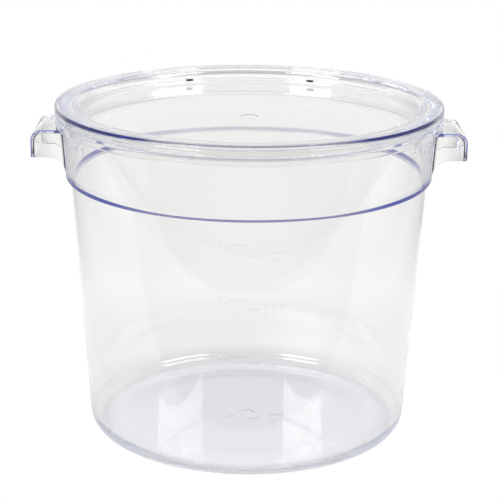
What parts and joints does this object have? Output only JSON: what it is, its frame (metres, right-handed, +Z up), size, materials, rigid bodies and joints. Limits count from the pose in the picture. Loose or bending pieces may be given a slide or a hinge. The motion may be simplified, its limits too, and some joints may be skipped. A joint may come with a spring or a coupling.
{
  "type": "round food storage container",
  "caption": "Round clear plastic food storage tub with moulded ear handles, a stacking shoulder and rim band, and a press-on lid whose sunken panel takes the base of the next tub.",
  "frame": {"origin": "on the table, under the middle of the tub's base", "axes": "+Z up along the tub's axis, +X along the line through both ear handles, +Y to the back"},
  "size_m": [0.25, 0.2246, 0.1964],
  "materials": {
    "tub_plastic": "polished clear polycarbonate",
    "lid_plastic": "polished clear polycarbonate"
  },
  "bodies": {
    "tub": {"tub": "tub_plastic"},
    "lid": {"lid": "lid_plastic"}
  },
  "joints": [
    {"name": "lid_lift", "type": "slide", "parent": "tub", "child": "lid", "axis": [0, 0, 1], "range_m": [0, 0.25]}
  ]
}
